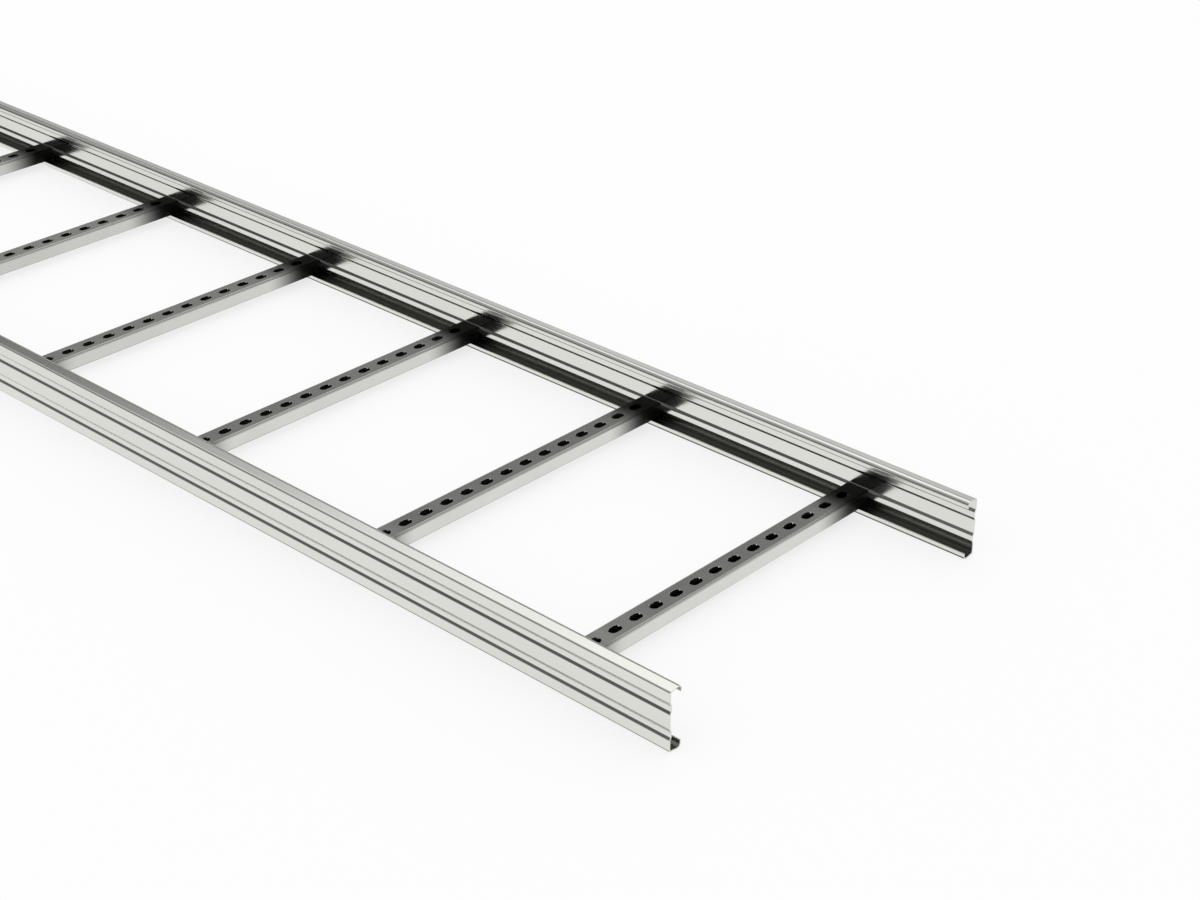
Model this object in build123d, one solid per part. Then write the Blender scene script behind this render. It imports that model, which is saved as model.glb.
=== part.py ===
from build123d import *
from math import cos, radians, sin, tan
import os

# Cable ladder section: two roll-formed side rails joined by slotted rungs.
# X runs along the ladder, Y across it and Z up. The origin is at the centre of
# the underside. Lengths are in millimetres and angles in degrees.

# Whole section
section_length = 3000.0
overall_width = 400.0
rung_pitch = 250.0

# Side rail, a lipped channel that opens towards the rungs. Its flanges lean
# outwards from the web to the crown of the wide bend that turns into the lip.
rail_height = 58.0
rail_sheet = 1.25
rail_flange_width = 13.5
rail_flange_tilt = 8.5
rail_lip_height = 6.5  # from the rail's edge to the lip's end
rail_web_bend_radius = 0.75  # inside radius, as are all the bend radii
rail_lip_bend_radius = 2.75

# Two stiffening beads pressed into each web, from the outside inwards
bead_depth = 1.3
bead_width = 7.85  # from mid wall to mid wall
bead_spacing = 23.75  # between the centre lines of the two beads
bead_wall_run = 2.8  # height over which a bead's wall slopes
bead_bend_radius = 1.2

# Rung, a lipped channel that opens downwards
rung_width = 24.0
rung_height = 15.5
rung_sheet = 1.25
rung_lip_width = 8.5
rung_bend_radius = 1.0

# Slots along the top of each rung, for cable ties and cleats
slot_length = 13.5
slot_width = 8.5
slot_pitch = 25.0
slot_end_land = 7.0  # least metal between the last slot and the rung's end
slot_end_sides = 12  # sides of the polygon that rounds a slot's end
hold_down_rungs = (1, 4, 9, 12)  # counted from the +X end

# Length by which a cutting shape passes the sheet that it cuts
cut_overrun = 1.0

# Sizes and counts that follow from those above
rung_length = overall_width - 2 * (rail_sheet + bead_depth)
rung_count = int(section_length / rung_pitch)
slots_each_side = int((rung_length / 2 - slot_end_land - slot_length / 2) / slot_pitch)


def bent_sheet_section(corners, inside_radii, sheet):
    """Section of a bent sheet, drawn round its middle line.

    corners are the corners of the middle line, and inside_radii are the bends'
    inside radii, one for each corner between the first and the last.
    """
    middle_radii = [radius + sheet / 2 for radius in inside_radii]
    middle_line = FilletPolyline(*corners, radius=middle_radii)
    return trace(middle_line, sheet)


def side_rail():
    """Rail with its web's outer face on Y = 0 and its flanges towards +Y."""
    web = rail_sheet / 2
    lip = rail_flange_width - rail_sheet / 2
    bead_floor = web + bead_depth
    half_opening = (bead_width + bead_wall_run) / 2
    half_floor = (bead_width - bead_wall_run) / 2

    # The leaning flange's middle line touches the lip's bend at touch_y and
    # touch_z, and meets the web's and the lip's middle lines in the two corners
    tilt = radians(rail_flange_tilt)
    middle_radius = rail_lip_bend_radius + rail_sheet / 2
    outer_radius = rail_lip_bend_radius + rail_sheet
    touch_y = rail_flange_width - outer_radius - middle_radius * sin(tilt)
    touch_z = outer_radius - middle_radius * cos(tilt)
    web_corner = touch_z + (touch_y - web) * tan(tilt)
    lip_corner = touch_z - (lip - touch_y) * tan(tilt)

    corners = [(lip, rail_lip_height), (lip, lip_corner), (web, web_corner)]
    for side in (-1, 1):
        bead_centre = rail_height / 2 + side * bead_spacing / 2
        corners.append((web, bead_centre - half_opening))
        corners.append((bead_floor, bead_centre - half_floor))
        corners.append((bead_floor, bead_centre + half_floor))
        corners.append((web, bead_centre + half_opening))
    corners.append((web, rail_height - web_corner))
    corners.append((lip, rail_height - lip_corner))
    corners.append((lip, rail_height - rail_lip_height))

    bottom_bends = [rail_lip_bend_radius, rail_web_bend_radius]
    bead_bends = [bead_bend_radius] * 8
    top_bends = [rail_web_bend_radius, rail_lip_bend_radius]
    section = bent_sheet_section(corners, bottom_bends + bead_bends + top_bends, rail_sheet)
    return extrude(Plane.YZ * section, section_length / 2, both=True)


def slot_outline():
    """One slot, long along Y, centred on the origin, with many-sided ends."""
    turn = 180 / slot_end_sides
    end = RegularPolygon(slot_width / 2, slot_end_sides, major_radius=False, rotation=turn)
    reach = (slot_length - slot_width) / 2
    ends = Pos(0, reach, 0) * end + Pos(0, -reach, 0) * end
    return ends + Rectangle(slot_width, 2 * reach)


def rung(holds_down):
    """Slotted rung, centred on X = 0 and Y = 0, with its underside on Z = 0.

    A rung that holds the ladder down takes its bolts in its two end slots,
    which have true round ends. The lips' outer corners are square.
    """
    side = (rung_width - rung_sheet) / 2
    top = rung_height - rung_sheet / 2
    corners = [(-side, 0), (-side, top), (side, top), (side, 0)]
    section = bent_sheet_section(corners, [rung_bend_radius] * 2, rung_sheet)
    for way in (-1, 1):
        lip_middle = way * (rung_width - rung_lip_width) / 2
        section += Pos(lip_middle, rung_sheet / 2, 0) * Rectangle(rung_lip_width, rung_sheet)
    channel = extrude(Plane.XZ * section, rung_length / 2, both=True)

    slots = Sketch()
    for step in range(-slots_each_side, slots_each_side + 1):
        outline = slot_outline()
        if holds_down and abs(step) == slots_each_side:
            outline = SlotOverall(slot_length, slot_width, rotation=90)
        slots += Pos(0, step * slot_pitch, 0) * outline
    cut_depth = rung_sheet + 2 * cut_overrun
    cutters = extrude(Pos(0, 0, rung_height + cut_overrun) * slots, -cut_depth)
    return channel - cutters


def save(name, shape, colour):
    """Write one piece to its own file."""
    shape.label = name
    shape.color = Color(colour)
    export_step(shape, f"parts/{name}.step")


os.makedirs("parts", exist_ok=True)

# The two rails are alike: the back one is the front one turned half a turn
front_rail = Pos(0, -overall_width / 2, 0) * side_rail()
save("side_rail_front", front_rail, "LightGray")
save("side_rail_back", Rot(0, 0, 180) * front_rail, "LightGray")

# The rungs rest on the rails' bottom lips, and their ends meet the lower beads
plain_rung = Pos(0, 0, rail_lip_height) * rung(False)
hold_down_rung = Pos(0, 0, rail_lip_height) * rung(True)
last_rung_place = (rung_count - 1) * rung_pitch / 2
for number in range(1, rung_count + 1):
    place = last_rung_place - (number - 1) * rung_pitch
    shape = hold_down_rung if number in hold_down_rungs else plain_rung
    save(f"rung_{number:02d}", Pos(place, 0, 0) * shape, "LightGray")
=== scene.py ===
import math

import bpy
import numpy as np
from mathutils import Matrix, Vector


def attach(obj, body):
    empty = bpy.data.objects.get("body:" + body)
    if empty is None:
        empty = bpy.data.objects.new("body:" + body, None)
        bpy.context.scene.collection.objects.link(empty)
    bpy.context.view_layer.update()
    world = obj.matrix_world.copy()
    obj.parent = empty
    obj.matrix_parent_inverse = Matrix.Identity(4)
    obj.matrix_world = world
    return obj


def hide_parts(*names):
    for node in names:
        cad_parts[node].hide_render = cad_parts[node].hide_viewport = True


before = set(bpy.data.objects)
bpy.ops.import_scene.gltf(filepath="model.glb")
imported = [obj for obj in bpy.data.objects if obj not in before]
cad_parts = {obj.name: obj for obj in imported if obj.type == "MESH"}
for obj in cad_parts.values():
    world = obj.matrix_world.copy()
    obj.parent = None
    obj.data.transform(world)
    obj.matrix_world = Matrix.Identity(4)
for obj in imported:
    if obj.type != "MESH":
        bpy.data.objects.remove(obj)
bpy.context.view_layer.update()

MM = 0.001

# Cable ladder section, in millimetres. X runs along it, Y across it, Z up.
SECTION_LENGTH = 3000.0
OVERALL_WIDTH = 400.0
RUNG_PITCH = 250.0
RUNG_COUNT = 12

RAIL_HEIGHT = 58.0
RAIL_SHEET = 1.25
FLANGE_WIDTH = 13.5
FLANGE_TILT = math.radians(8.5)
LIP_HEIGHT = 6.5
WEB_BEND_RADIUS = 0.75  # inside radius, as are all the bend radii
LIP_BEND_RADIUS = 2.75
BEAD_DEPTH = 1.3
BEAD_WIDTH = 7.85
BEAD_SPACING = 23.75
BEAD_WALL_RUN = 2.8
BEAD_BEND_RADIUS = 1.2

RUNG_WIDTH = 24.0
RUNG_HEIGHT = 15.5
RUNG_SHEET = 1.25
RUNG_LIP_WIDTH = 8.5
RUNG_BEND_RADIUS = 1.0
SLOT_LENGTH = 13.5
SLOT_WIDTH = 8.5
SLOT_PITCH = 25.0
SLOTS_EACH_SIDE = 7
SLOT_EDGE_ROLL = 0.2  # radius that the punch leaves round a slot's upper edge

# How finely the surfaces are divided
BEND_STEPS = 10
SLOT_QUARTER_STEPS = 7
SLOT_SIDE_STEPS = 4
SLOT_ROLL_STEPS = 3
CELL_RING_SHARES = (0.0, 0.12, 0.4, 1.0)  # ways from a slot's outline to its cell's edge
SAME_POINT = 1e-4  # points this close become one
TOUCHING = 1e-9  # a smaller distance counts as none
PLACE_DECIMALS = 6  # to which places along an edge are compared


# Shapes

def bent_line(corners, radii):
    """Points of a line with rounded corners, and the unit tangent at each.

    At a corner the line turns by an angle t on an arc of radius r, which starts
    r tan(t / 2) before the corner. The arc's points are its start plus the sum
    of r sin(a) along the line and r (1 - cos(a)) across it, for a from 0 to t.
    """
    corners = np.array(corners, float)
    steps = np.diff(corners, axis=0)
    along = steps / np.linalg.norm(steps, axis=1)[:, None]
    points, tangents = [corners[:1]], [along[:1]]
    for number, radius in enumerate(radii):
        before, after = along[number], along[number + 1]
        turn = math.atan2(before[0] * after[1] - before[1] * after[0], before @ after)
        across = np.array([-before[1], before[0]]) * np.sign(turn)
        start = corners[number + 1] - before * radius * math.tan(abs(turn) / 2)
        angle = np.linspace(0, abs(turn), BEND_STEPS + 1)[:, None]
        arc = np.sin(angle) * before + (1 - np.cos(angle)) * across
        points.append(start + radius * arc)
        tangents.append(np.cos(angle) * before + np.sin(angle) * across)
    points.append(corners[-1:])
    tangents.append(along[-1:])
    return np.concatenate(points), np.concatenate(tangents)


def grid_quads(rows, columns):
    """Corner numbers of the quads of a rows by columns grid of points."""
    number = np.arange(rows * columns).reshape(rows, columns)
    corners = [number[:-1, :-1], number[1:, :-1], number[1:, 1:], number[:-1, 1:]]
    return np.stack(corners, -1).reshape(-1, 4)


def patch(points, normals, painted_shade=0.0):
    """A grid of points with its normals, both of shape rows, columns, 3.

    The quads are turned so that they face along their normals. painted_shade
    is the share of painted shade: 1 where the sheet lies deep in a fold or
    inside a piece, and 0 in the open.
    """
    rows, columns = points.shape[:2]
    normals = np.broadcast_to(normals, points.shape)
    painted_shade = np.broadcast_to(painted_shade, (rows, columns)).reshape(-1)
    flat, lean = points.reshape(-1, 3), normals.reshape(-1, 3)
    quads = grid_quads(rows, columns)
    one_diagonal = flat[quads[:, 2]] - flat[quads[:, 0]]
    other_diagonal = flat[quads[:, 3]] - flat[quads[:, 1]]
    facing = np.cross(one_diagonal, other_diagonal)
    wrong = (facing * lean[quads].sum(1)).sum(1) < 0
    quads[wrong] = quads[wrong][:, ::-1]
    return flat, lean, quads, painted_shade


def joined(patches):
    """Patches as one set: points, quads, and each quad corner's normal and painted shade.

    Points that lie within a tenth of a micrometre become one, so that the
    surface is closed.
    """
    start, points, quads, normals, painted_shades = 0, [], [], [], []
    for flat, lean, faces, painted_shade in patches:
        points.append(flat)
        quads.append(faces + start)
        normals.append(lean[faces])
        painted_shades.append(painted_shade[faces])
        start += len(flat)
    points, quads = np.concatenate(points), np.concatenate(quads)
    normals, painted_shades = np.concatenate(normals), np.concatenate(painted_shades)
    rounded = np.round(points / SAME_POINT).astype(np.int64)
    _, first, place = np.unique(rounded, axis=0, return_index=True, return_inverse=True)
    return points[first], place.reshape(-1)[quads], normals, painted_shades


def piece(name, patches, material, place_x=0.0):
    """The patches as one object that stands for the CAD node of that name."""
    points, quads, normals, painted_shades = joined(patches)
    mesh = bpy.data.meshes.new(name)
    mesh.from_pydata(((points + [place_x, 0, 0]) * MM).tolist(), [], quads.tolist())
    mesh.polygons.foreach_set("use_smooth", np.ones(len(quads), bool))
    mesh.normals_split_custom_set(normals.reshape(-1, 3).tolist())
    # Each quad corner's share of painted shade, which the steel's material reads
    kept_painted_shade = mesh.attributes.new("painted_shade", "FLOAT", "CORNER")
    kept_painted_shade.data.foreach_set("value", painted_shades.reshape(-1))
    mesh.materials.append(material)
    made = bpy.data.objects.new(name + "_sheet", mesh)
    bpy.context.scene.collection.objects.link(made)
    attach(made, "root")
    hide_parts(name)


def section_3d(points, axis):
    """Section points (across, up) set into Y and Z for a rail, X and Z for a rung."""
    zero = np.zeros(len(points))
    across, up = points[:, 0], points[:, 1]
    return np.stack([zero, across, up] if axis == "x" else [across, zero, up], -1)


def level_3d(rings, heights):
    """Rings of X and Y points, each set at its own height."""
    heights = np.broadcast_to(np.reshape(heights, (-1, 1, 1)), rings.shape[:2] + (1,))
    return np.concatenate([rings, heights], -1)


def rail_middle_line():
    """Middle line of a rail's sheet, with its tangents, from lip to lip.

    It is drawn in the section's Y and Z with the web's outer face on Y = 0. The
    leaning flange's line touches the lip's bend at touch_y, touch_z and meets
    the web's and the lip's lines in the two corners that are rounded.
    """
    web = RAIL_SHEET / 2
    lip = FLANGE_WIDTH - web
    floor = web + BEAD_DEPTH
    middle_radius, outer_radius = LIP_BEND_RADIUS + web, LIP_BEND_RADIUS + RAIL_SHEET
    touch_y = FLANGE_WIDTH - outer_radius - middle_radius * math.sin(FLANGE_TILT)
    touch_z = outer_radius - middle_radius * math.cos(FLANGE_TILT)
    web_corner = touch_z + (touch_y - web) * math.tan(FLANGE_TILT)
    lip_corner = touch_z - (lip - touch_y) * math.tan(FLANGE_TILT)
    fold_corners = [(lip, LIP_HEIGHT), (lip, lip_corner), (web, web_corner)]

    half_opening = (BEAD_WIDTH + BEAD_WALL_RUN) / 2
    half_floor = (BEAD_WIDTH - BEAD_WALL_RUN) / 2
    bead_corners = []
    for centre in ((RAIL_HEIGHT - BEAD_SPACING) / 2, (RAIL_HEIGHT + BEAD_SPACING) / 2):
        bead_corners += [(web, centre - half_opening), (floor, centre - half_floor),
                         (floor, centre + half_floor), (web, centre + half_opening)]

    mirrored_corners = [(y, RAIL_HEIGHT - z) for y, z in fold_corners[::-1]]
    fold_bends = [LIP_BEND_RADIUS, WEB_BEND_RADIUS]
    bends = fold_bends + [BEAD_BEND_RADIUS] * len(bead_corners) + fold_bends[::-1]
    return bent_line(fold_corners + bead_corners + mirrored_corners, [radius + web for radius in bends])


def rail_patches(side):
    """One side rail: its section carried from one end of the ladder to the other.

    The two faces of the sheet are the middle line plus and minus half the sheet
    along its normal. The narrow strips between them close the edges and ends.
    """
    half_sheet = RAIL_SHEET / 2
    line, tangent = rail_middle_line()
    line = line - [OVERALL_WIDTH / 2, 0]
    normal = np.stack([-tangent[:, 1], tangent[:, 0]], -1)
    ends = np.array([[-SECTION_LENGTH / 2, 0, 0], [SECTION_LENGTH / 2, 0, 0]])

    # Painted shade inside a fold: it rises over the lip's bend, is 1 on the flange and
    # falls over the second half of the web's bend. The fold's points are the
    # lip's end and the two bends.
    fold_points = 1 + 2 * (BEND_STEPS + 1)
    flange_start, flange_end = BEND_STEPS + 1, fold_points - BEND_STEPS // 2
    fold = np.interp(np.arange(fold_points), [1, flange_start, flange_end, fold_points - 1], [0, 1, 1, 0])
    painted_shade = np.zeros(len(line))
    painted_shade[:fold_points], painted_shade[-fold_points:] = fold, fold[::-1]

    faces = []
    first_bead_wall = fold_points + BEND_STEPS
    for half in (half_sheet, -half_sheet):
        skin = section_3d(line + half * normal, "x")
        lean = section_3d(normal, "x") * np.sign(half)
        # Only the inner face of the sheet carries the fold's painted shade
        inner = lean[first_bead_wall, 1] > 0
        lean_at_ends = np.broadcast_to(lean, (2,) + lean.shape)
        faces.append((ends[:, None] + skin[None], lean_at_ends, painted_shade * inner))
    edge = np.stack([section_3d(line + half * normal, "x") for half in (half_sheet, -half_sheet)])
    for end, sign in ((ends[0], -1.0), (ends[1], 1.0)):
        faces.append((edge + end, np.array([sign, 0, 0]), 0.0))
    for lip_end, sign in ((0, -1.0), (-1, 1.0)):
        lean = section_3d(tangent, "x")[lip_end] * sign
        faces.append((ends[:, None] + edge[None, :, lip_end], lean, 0.0))

    turned = np.array([-1.0, -1.0, 1.0] if side == "back" else [1.0, 1.0, 1.0])
    return [patch(points * turned, lean * turned, painted_shade_level) for points, lean, painted_shade_level in faces]


def slot_ring(grow):
    """The slot's outline moved outwards by grow, as a closed ring of points.

    A half circle of radius w / 2 + grow about each of the two end centres, and
    evenly spaced points along the two straight sides.
    """
    radius = SLOT_WIDTH / 2 + grow
    reach = (SLOT_LENGTH - SLOT_WIDTH) / 2
    angle = np.linspace(0, math.pi, 2 * SLOT_QUARTER_STEPS + 1)
    end = np.stack([radius * np.cos(angle), reach + radius * np.sin(angle)], -1)
    side_y = np.linspace(reach, -reach, SLOT_SIDE_STEPS + 1)[1:-1]
    side = np.stack([np.full(len(side_y), -radius), side_y], -1)
    half = np.concatenate([end, side])
    return np.concatenate([half, -half, half[:1]])


def cell_ring(half_x, half_y):
    """The slot's ring carried out to the edge of its cell.

    Each point keeps its direction from the centre of the slot's cell and is
    scaled until it meets the cell's nearest side. Four points are set to the
    corners.
    """
    ring = slot_ring(0.0)
    away = np.maximum(np.abs(ring), TOUCHING)
    scale = np.minimum(half_x / away[:, 0], half_y / away[:, 1])
    out = ring * scale[:, None]
    for corner in ((half_x, half_y), (-half_x, half_y), (-half_x, -half_y), (half_x, -half_y)):
        out[np.argmin(np.hypot(*(out - corner).T))] = corner
    out[-1] = out[0]
    return out


def slot_patches(top, cell_edge):
    """The sheet round one slot: its upper and lower face, and the slot's wall.

    A face is a set of rings at given shares of the way from the slot's outline
    to the cell's edge. The wall goes straight up and then rolls outwards on a
    quarter circle of radius e: e (1 - cos(a)) out and e (1 - sin(a)) below the
    top, for a from 0 to a quarter turn.
    """
    bottom = top - RUNG_SHEET
    outline = slot_ring(0.0)
    outward = slot_ring(1.0) - outline  # one unit outwards
    share = np.array(CELL_RING_SHARES)[:, None, None]
    faces = []
    # The lower face, inside the rung, carries painted shade; the upper face none
    for level, sign, grow in ((top, 1.0, SLOT_EDGE_ROLL), (bottom, -1.0, 0.0)):
        rings = slot_ring(grow) * (1 - share) + cell_edge * share
        faces.append((level_3d(rings, level), np.array([0, 0, sign]), float(level == bottom)))

    roll = np.linspace(0, math.pi / 2, SLOT_ROLL_STEPS + 1)
    rolled = outline + outward * (SLOT_EDGE_ROLL * (1 - np.cos(roll)))[:, None, None]
    wall = np.concatenate([outline[None], rolled])
    heights = np.concatenate([[bottom], top - SLOT_EDGE_ROLL * (1 - np.sin(roll))])
    tilt = np.concatenate([[0], roll])
    lean = level_3d(-outward * np.cos(tilt)[:, None, None], np.sin(tilt))
    faces.append((level_3d(wall, heights), lean, 0.0))
    return faces


def rung_patches():
    """One rung: a channel section carried across the ladder, its top slotted.

    The flat top is a row of cells, one round each slot. The bends and sides use
    the places along Y at which the slots' rings meet them, so that the surfaces
    share their edges. The section is drawn in halves, from the top's edge round
    the side to the lip.
    """
    half_sheet = RUNG_SHEET / 2
    flat = RUNG_WIDTH / 2 - RUNG_SHEET - RUNG_BEND_RADIUS
    side = (RUNG_WIDTH - RUNG_SHEET) / 2
    top = LIP_HEIGHT + RUNG_HEIGHT
    bottom = top - RUNG_SHEET
    end = OVERALL_WIDTH / 2 - RAIL_SHEET - BEAD_DEPTH
    rung_ends = ((-end, -1.0), (end, 1.0))
    faces = []

    centres = np.arange(-SLOTS_EACH_SIDE, SLOTS_EACH_SIDE + 1) * SLOT_PITCH
    cell_edge = cell_ring(flat, SLOT_PITCH / 2)
    around_slot = slot_patches(top, cell_edge)
    for centre in centres:
        faces += [(points + [0, centre, 0], lean, painted_shade_level) for points, lean, painted_shade_level in around_slot]

    # Places along Y and across X at which the cells' rings meet their edges
    on_sides = np.abs(np.abs(cell_edge[:, 0]) - flat) < TOUCHING
    on_ends = np.abs(np.abs(cell_edge[:, 1]) - SLOT_PITCH / 2) < TOUCHING
    stations = (centres[:, None] + cell_edge[on_sides, 1]).reshape(-1)
    stations = np.unique(np.round(np.append(stations, [-end, end]), PLACE_DECIMALS))
    across = np.unique(np.round(cell_edge[on_ends, 0], PLACE_DECIMALS))

    # The plain top between the last slot's cell and each end of the rung
    last = (SLOTS_EACH_SIDE + 0.5) * SLOT_PITCH
    for low, high in ((-end, -last), (last, end)):
        # The land's lower face, inside the rung, carries painted shade
        for level, sign in ((top, 1.0), (bottom, -1.0)):
            x, y = np.meshgrid(across, [low, high], indexing="ij")
            land = np.stack([x, y, np.full(x.shape, level)], -1)
            faces.append((land, np.array([0, 0, sign]), float(level == bottom)))

    run = np.zeros((len(stations), 1, 3))
    run[:, 0, 1] = stations
    for sign in (-1.0, 1.0):
        lip_end_x = RUNG_WIDTH / 2 - RUNG_LIP_WIDTH
        corners = [(sign * flat, top - half_sheet), (sign * side, top - half_sheet),
                   (sign * side, LIP_HEIGHT + half_sheet), (sign * lip_end_x, LIP_HEIGHT + half_sheet)]
        line, tangent = bent_line(corners, [RUNG_BEND_RADIUS + half_sheet] * 2)
        line, tangent = line[1:], tangent[1:]
        out = np.stack([-tangent[:, 1], tangent[:, 0]], -1) * sign
        skins = np.stack([section_3d(line + half * out, "y") for half in (half_sheet, -half_sheet)])
        # The inner skin of the side and lip, inside the rung, carries painted shade
        for skin, way in ((skins[0], 1.0), (skins[1], -1.0)):
            lean = section_3d(out * way, "y")
            lean_along = np.broadcast_to(lean, (len(stations),) + lean.shape)
            faces.append((run + skin[None], lean_along, float(way < 0)))
        faces.append((run + skins[None, :, -1], np.array([-sign, 0, 0]), 0.0))
        for place, facing in rung_ends:
            faces.append((skins + [0, place, 0], np.array([0, facing, 0]), 0.0))
    for place, facing in rung_ends:
        x, z = np.meshgrid(across, [bottom, top], indexing="ij")
        cut = np.stack([x, np.full(x.shape, place), z], -1)
        faces.append((cut, np.array([0, facing, 0]), 0.0))
    return [patch(*face) for face in faces]


# Materials

CLOUD_SIZE = 0.06  # metres
CLOUD_STRETCH = 0.25  # scale of the pattern along X, which draws the clouds out
CLOUD_DETAIL = 3.0
CLOUD_LOW, CLOUD_HIGH = 0.3, 0.7  # most of the noise's values lie between these
GLOSS_CHANGE = 0.03
DULL_ROUGHNESS = 0.5


def linear(code):
    """An sRGB hex colour as linear red, green and blue, with an alpha of 1."""
    parts = np.array([int(code[place:place + 2], 16) for place in (1, 3, 5)]) / 255
    bright = ((parts + 0.055) / 1.055) ** 2.4
    return tuple(np.where(parts <= 0.04045, parts / 12.92, bright)) + (1.0,)


def add(tree, kind, settings=None, **inputs):
    """A node with its settings. An input is a value or another node's socket.

    An input is named as its socket is, with _ for a space, or by _ and its
    number where several sockets share a name.
    """
    node = tree.nodes.new(kind)
    for name, value in (settings or {}).items():
        setattr(node, name, value)
    for name, value in inputs.items():
        socket = node.inputs[int(name[1:])] if name[0] == "_" else node.inputs[name.replace("_", " ")]
        if isinstance(value, bpy.types.NodeSocket):
            tree.links.new(value, socket)
        else:
            socket.default_value = value
    return node


def galvanised_steel(name, light, dark, painted_shade_colour, roughness, joints=None):
    """Sheet steel zinc-coated before it was rolled: bright, grey and half glossy.

    Broad soft clouds in the zinc, some 60 mm across and four times as long
    along the ladder, shift its colour and gloss a little. Deep in the folds and
    inside the rungs the zinc has painted shade: a dark colour, with a duller
    gloss. joints gives the two distances from the middle of
    the ladder between which painted shade darkens the zinc towards a rung's
    end, where it is joined to the rail.
    """
    material = bpy.data.materials.new(name)
    material.use_nodes = True
    tree = material.node_tree
    tree.nodes.clear()
    place = add(tree, "ShaderNodeTexCoord").outputs["Object"]
    drawn = add(tree, "ShaderNodeMapping", Vector=place, Scale=(CLOUD_STRETCH, 1.0, 1.0)).outputs[0]
    clouds = add(tree, "ShaderNodeTexNoise", Vector=drawn, Scale=1 / CLOUD_SIZE,
                 Detail=CLOUD_DETAIL, Roughness=0.5).outputs["Fac"]
    zinc = add(tree, "ShaderNodeMix", {"data_type": "RGBA"}, _0=clouds,
               _6=linear(light), _7=linear(dark)).outputs[2]
    # Painted shade: the corners' share from the mesh, and a ramp that darkens a rung towards its ends
    painted_shade_and_dulling = add(tree, "ShaderNodeAttribute", {"attribute_name": "painted_shade"}).outputs["Fac"]
    if joints:
        across = add(tree, "ShaderNodeSeparateXYZ", Vector=place).outputs["Y"]
        reach = add(tree, "ShaderNodeMath", {"operation": "ABSOLUTE"}, _0=across).outputs[0]
        painted_joint_shade = add(tree, "ShaderNodeMapRange", {"interpolation_type": "SMOOTHSTEP"}, Value=reach,
                         From_Min=joints[0] * MM, From_Max=joints[1] * MM).outputs[0]
        painted_shade_and_dulling = add(tree, "ShaderNodeMath", {"operation": "MAXIMUM"}, _0=painted_shade_and_dulling, _1=painted_joint_shade).outputs[0]
    # The painted shade darkens the zinc's colour
    colour = add(tree, "ShaderNodeMix", {"data_type": "RGBA"}, _0=painted_shade_and_dulling,
                 _6=zinc, _7=linear(painted_shade_colour)).outputs[2]
    sheen = add(tree, "ShaderNodeMapRange", Value=clouds, From_Min=CLOUD_LOW, From_Max=CLOUD_HIGH,
                To_Min=roughness - GLOSS_CHANGE, To_Max=roughness + GLOSS_CHANGE).outputs[0]
    # Where the shade is painted the gloss is duller too
    gloss = add(tree, "ShaderNodeMix", _0=painted_shade_and_dulling, _2=sheen, _3=DULL_ROUGHNESS).outputs[0]
    shader = add(tree, "ShaderNodeBsdfPrincipled", Base_Color=colour, Metallic=1.0, Roughness=gloss)
    add(tree, "ShaderNodeOutputMaterial", Surface=shader.outputs[0])
    return material


# The third colour of each steel is its painted shade, for the folds and the rungs' insides; on the rungs
# painted shade also darkens the zinc from 122 to 176 mm from the middle, at their ends
rail_steel = galvanised_steel("pre_galvanised_steel_rail", light="#E4E4DE", dark="#DADAD4",
                              painted_shade_colour="#5A5A58", roughness=0.15)
rung_steel = galvanised_steel("pre_galvanised_steel_rung", light="#DEDED9", dark="#D4D4CF",
                              painted_shade_colour="#20201F", roughness=0.17, joints=(122.0, 176.0))

for rail_side in ("front", "back"):
    piece("side_rail_" + rail_side, rail_patches(rail_side), rail_steel)
one_rung = rung_patches()
for number in range(RUNG_COUNT):
    rung_x = ((RUNG_COUNT - 1) / 2 - number) * RUNG_PITCH
    piece(f"rung_{number + 1:02d}", one_rung, rung_steel, rung_x)


# Floor

FLOOR_REACH = 30.0  # metres
FLOOR_WHITE_SHARE = 0.75
WHITE = (1, 1, 1, 1)

floor_material = bpy.data.materials.new("white_studio_floor")
floor_material.use_nodes = True
ground = floor_material.node_tree
ground.nodes.clear()
floor_ray = add(ground, "ShaderNodeLightPath").outputs
matt = add(ground, "ShaderNodeBsdfDiffuse", Color=linear("#F6F6F6")).outputs[0]
clear = add(ground, "ShaderNodeBsdfTransparent").outputs[0]
# The metal mirrors the studio below instead of the bare floor
lit_floor = add(ground, "ShaderNodeMixShader", Fac=floor_ray["Is Glossy Ray"], _1=matt, _2=clear).outputs[0]
# A share of what the camera sees of the floor is plain white, which keeps the shadow light
white_share = add(ground, "ShaderNodeMath", {"operation": "MULTIPLY"},
                  _0=floor_ray["Is Camera Ray"], _1=FLOOR_WHITE_SHARE).outputs[0]
plain_white = add(ground, "ShaderNodeEmission", Color=WHITE, Strength=1.0).outputs[0]
seen_floor = add(ground, "ShaderNodeMixShader", Fac=white_share, _1=lit_floor, _2=plain_white).outputs[0]
add(ground, "ShaderNodeOutputMaterial", Surface=seen_floor)
floor_mesh = bpy.data.meshes.new("floor")
floor_corners = [(x * FLOOR_REACH, y * FLOOR_REACH, 0) for x, y in ((-1, -1), (1, -1), (1, 1), (-1, 1))]
floor_mesh.from_pydata(floor_corners, [], [(0, 1, 2, 3)])
floor_mesh.materials.append(floor_material)
floor = bpy.data.objects.new("floor", floor_mesh)
bpy.context.scene.collection.objects.link(floor)


# Studio that the metal mirrors. Its walls on the +Y and the -Y side are given as
# pairs of elevation in degrees and brightness: white above and light below, with
# darker bands between that put the lines into the beads, bends and folds.

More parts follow.
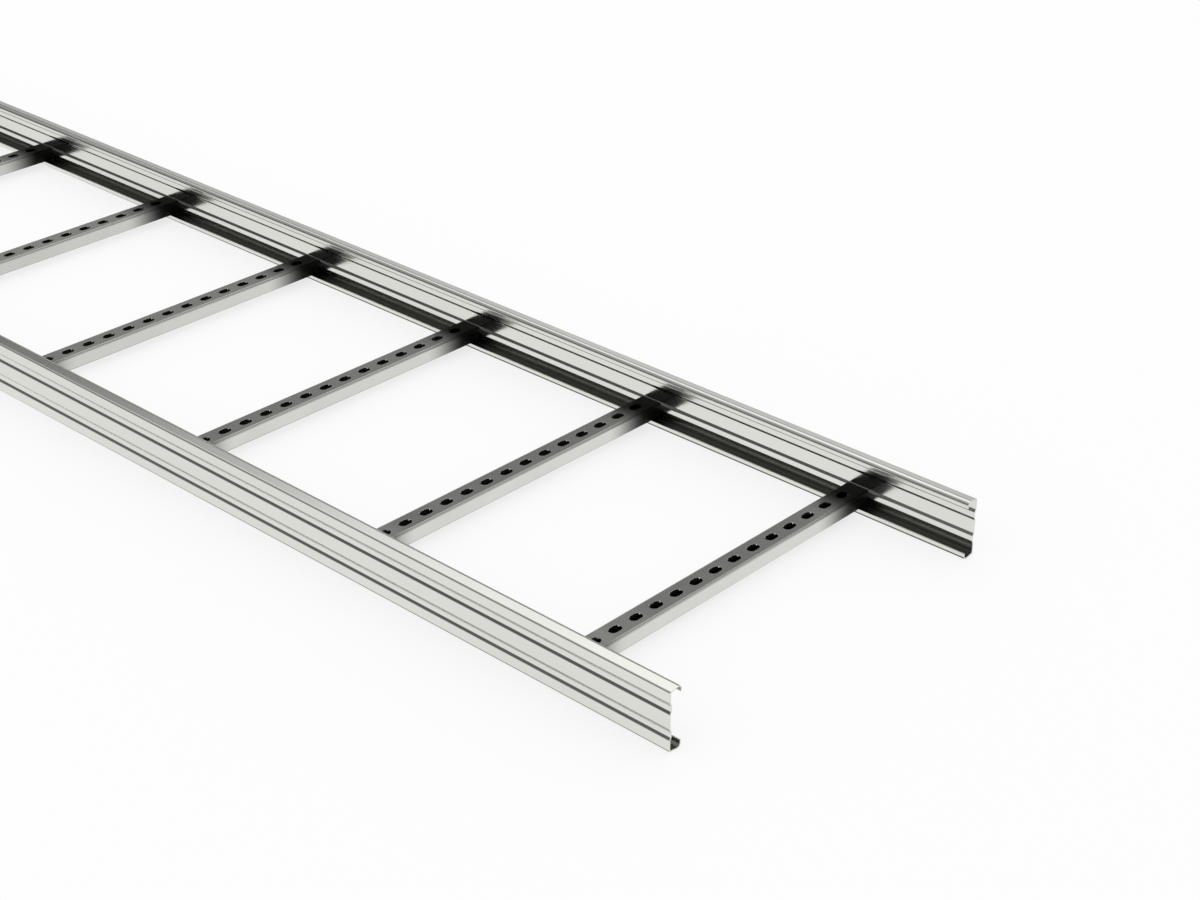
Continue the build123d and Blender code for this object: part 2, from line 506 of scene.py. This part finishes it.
FAR_SIDE = ((-90, 0.55), (-55, 0.55), (-42, 0.85), (-37, 0.95), (-27, 0.95), (-18, 0.72), (-12, 0.5),
            (-6, 0.15), (1, 0.15), (7, 0.35), (11, 0.5), (14, 1.0), (17, 0.45), (19, 0.3),
            (24, 0.26), (29, 0.2), (34, 0.13), (38, 0.6), (42, 1.2))
NEAR_SIDE = ((-90, 0.55), (-55, 0.55), (-42, 0.85), (-38, 0.97), (-20, 0.95), (-10, 0.75), (-2, 0.4),
             (4, 0.12), (10, 0.06), (14, 0.1), (20, 0.38), (44, 0.38), (54, 0.7), (62, 1.3))
BRIGHTEST = 1.3
SIDES_BLEND = 0.2  # part of Y over which one side's wall turns into the other's

world = bpy.data.worlds.new("studio")
bpy.context.scene.world = world
world.use_nodes = True
studio = world.node_tree
studio.nodes.clear()
direction = add(studio, "ShaderNodeTexCoord").outputs["Generated"]
towards_axis = add(studio, "ShaderNodeSeparateXYZ", Vector=direction).outputs
height = add(studio, "ShaderNodeMapRange", Value=towards_axis["Z"], From_Min=-1.0, From_Max=1.0).outputs[0]


def side_wall(levels):
    """Brightness of one side of the studio by elevation."""
    ramp = add(studio, "ShaderNodeValToRGB", Fac=height)
    bands = ramp.color_ramp.elements
    ready = len(bands)
    for number, (elevation, level) in enumerate(levels):
        position = (math.sin(math.radians(elevation)) + 1) / 2
        band = bands[number] if number < ready else bands.new(position)
        band.position = position
        band.color = (level / BRIGHTEST,) * 3 + (1,)
    return ramp.outputs[0]


def between(*edges):
    """How far a direction lies within a panel, as the product of its soft edges.

    Each edge is an axis and two values of the direction along it: the edge's
    share rises from 0 at the first to 1 at the second.
    """
    share = None
    for axis, outer, inner in edges:
        edge = add(studio, "ShaderNodeMapRange", Value=towards_axis[axis],
                   From_Min=outer, From_Max=inner).outputs[0]
        if share:
            edge = add(studio, "ShaderNodeMath", {"operation": "MULTIPLY"}, _0=share, _1=edge).outputs[0]
        share = edge
    return share


def panel(behind, share, level):
    """A panel of one brightness hung in front of the studio's walls."""
    return add(studio, "ShaderNodeMix", {"data_type": "RGBA"}, _0=share, _6=behind,
               _7=(level, level, level, 1)).outputs[2]


far_wall, near_wall = side_wall(FAR_SIDE), side_wall(NEAR_SIDE)
to_far_side = add(studio, "ShaderNodeMapRange", Value=towards_axis["Y"],
                  From_Min=-SIDES_BLEND, From_Max=SIDES_BLEND).outputs[0]
walls = add(studio, "ShaderNodeMix", {"data_type": "RGBA"}, _0=to_far_side,
            _6=near_wall, _7=far_wall).outputs[2]
# The white ceiling covers only the -X side. On the +X side a wall and a darker
# ceiling keep the rungs' bends grey.
plus_x_side = ("X", -0.45, -0.1)
walls = panel(walls, between(plus_x_side, ("Z", -0.2, 0.0)), 0.6)
walls = panel(walls, between(plus_x_side, ("Z", 0.2, 0.5)), 0.3)
# A dark panel lies low down on the -X side: its mirror image draws the beads
low_panel = between(("X", 0.05, -0.2), ("Y", -0.5, -0.36), ("Y", 0.4, 0.26), ("Z", -0.605, -0.65))
walls = panel(walls, low_panel, 0.02)

# The camera and matt surfaces see plain white instead
mirrored_studio = add(studio, "ShaderNodeBackground", Color=walls, Strength=BRIGHTEST).outputs[0]
white_studio = add(studio, "ShaderNodeBackground", Color=WHITE, Strength=1.0).outputs[0]
studio_ray = add(studio, "ShaderNodeLightPath").outputs
sees_white = add(studio, "ShaderNodeMath", {"operation": "ADD"},
                 _0=studio_ray["Is Camera Ray"], _1=studio_ray["Is Diffuse Ray"]).outputs[0]
seen_studio = add(studio, "ShaderNodeMixShader", Fac=sees_white, _1=mirrored_studio, _2=white_studio)
add(studio, "ShaderNodeOutputWorld", Surface=seen_studio.outputs[0])


# Lamp and camera

soft_box = bpy.data.lights.new("overhead_soft_box", "AREA")
soft_box.size, soft_box.energy = 3.0, 12.0
soft_box_place = Vector((-0.6, 0.4, 4.0))
soft_box_holder = bpy.data.objects.new("overhead_soft_box", soft_box)
soft_box_holder.location = soft_box_place
# It faces the middle of the ladder, and the metal doesn't mirror it
soft_box_holder.rotation_euler = (-soft_box_place).to_track_quat("-Z", "Y").to_euler()
soft_box_holder.visible_glossy = False
bpy.context.scene.collection.objects.link(soft_box_holder)

camera = bpy.data.objects.new("camera", bpy.data.cameras.new("camera"))
camera.data.lens, camera.data.sensor_width = 68.04, 36.0
camera.location = (2.4191, -1.2630, 1.0270)
camera.rotation_euler = (math.radians(61.459), 0, math.radians(42.987))
camera.data.clip_start, camera.data.clip_end = 0.05, 200.0
bpy.context.scene.collection.objects.link(camera)
bpy.context.scene.camera = camera
bpy.context.scene.view_settings.view_transform = "Standard"
